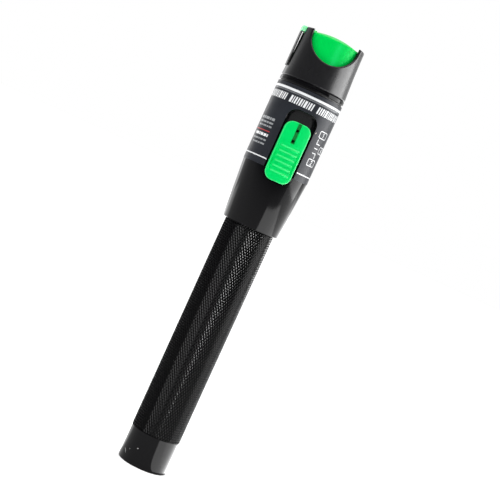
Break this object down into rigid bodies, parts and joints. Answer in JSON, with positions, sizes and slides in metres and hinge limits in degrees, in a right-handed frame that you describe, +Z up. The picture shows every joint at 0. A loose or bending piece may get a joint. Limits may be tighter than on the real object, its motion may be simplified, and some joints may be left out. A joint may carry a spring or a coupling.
{
  "type": "visual fault locator",
  "caption": "Pen-type visual fault locator for optical fibre: knurled battery grip, flared barrel with a sliding thumb switch, and a scooped head with a dust-capped ferrule port.",
  "frame": {"origin": "centre of the flat tail face, on the surface the pen stands on", "axes": "+Z up the pen's axis towards the head; -Y is the side with the sliding switch; -X is the side with the dust cap's pull strap"},
  "size_m": [0.026, 0.0266, 0.1764],
  "materials": {
    "gloss_black_metal": "gloss black anodised, smooth turned",
    "knurled_black_metal": "black anodised diamond knurl",
    "label_film": "charcoal printed film, satin",
    "green_plastic": "bright green moulded plastic, semi-gloss",
    "satin_black_plastic": "black moulded plastic, satin",
    "gloss_black_plastic": "black moulded plastic, glossy",
    "black_plastic": "black moulded plastic",
    "strap_rubber": "soft black rubber",
    "seal_rubber": "nitrile rubber",
    "nickel": "nickel plated, bright",
    "brass": "turned brass",
    "gold_can": "gold plated can",
    "bare_aluminium": "turned aluminium",
    "spring_steel": "plated spring steel",
    "battery_jacket": "plain printed cell jacket; density of a whole cell is near aluminium",
    "board_laminate": "green glass-fibre laminate",
    "capacitor_can": "aluminium can",
    "resistor_ceramic": "chip resistors",
    "red_wire": "insulated wire",
    "lens_glass": "clear glass",
    "white_ceramic": "polished zirconia"
  },
  "bodies": {
    "pen": {"battery_rear": "battery_jacket", "battery_front": "battery_jacket", "grip_tube": "knurled_black_metal", "grip_seal": "seal_rubber", "barrel": "gloss_black_metal", "label_wrap": "label_film", "switch_bed": "gloss_black_plastic", "slide_switch": "spring_steel", "module_carrier": "black_plastic", "front_contact": "nickel", "battery_lead": "red_wire", "circuit_board": "board_laminate", "driver_chip": "black_plastic", "capacitor": "capacitor_can", "board_resistors": "resistor_ceramic", "laser_holder": "brass", "laser_diode": "gold_can", "collimating_lens": "lens_glass", "bulkhead": "bare_aluminium", "grub_screws": "spring_steel", "head_gasket": "seal_rubber", "collar_ring": "satin_black_plastic", "head_shroud": "satin_black_plastic", "port_bushing": "nickel", "ferrule_sleeve": "white_ceramic", "port_nut": "nickel"},
    "switch": {"switch_slider": "green_plastic", "switch_lever": "black_plastic"},
    "cap": {"dust_cap": "green_plastic", "pull_strap": "strap_rubber"},
    "tail_spring": {"tail_contact": "nickel", "tail_spring": "spring_steel"},
    "tail_cap": {"tail_cap": "gloss_black_metal", "tail_seal": "seal_rubber"}
  },
  "joints": [
    {"name": "switch_slide", "type": "slide", "parent": "pen", "child": "switch", "axis": [0, 0, 1], "range_m": [0, 0.004]},
    {"name": "dust_cap_pull", "type": "slide", "parent": "pen", "child": "cap", "axis": [0, 0, 1], "range_m": [0, 0.025]},
    {"name": "tail_cap_travel", "type": "slide", "parent": "pen", "child": "tail_spring", "axis": [0, 0, -1], "range_m": [0, 0.00625]},
    {"name": "tail_cap_turn", "type": "hinge", "parent": "tail_spring", "child": "tail_cap", "pos_m": [0, 0, 0], "axis": [0, 0, -1], "range_deg": [0, 1800]}
  ],
  "couplings": [
    {"joint": "tail_cap_turn", "follows": "tail_cap_travel", "rad_per_m": 5026.5}
  ]
}
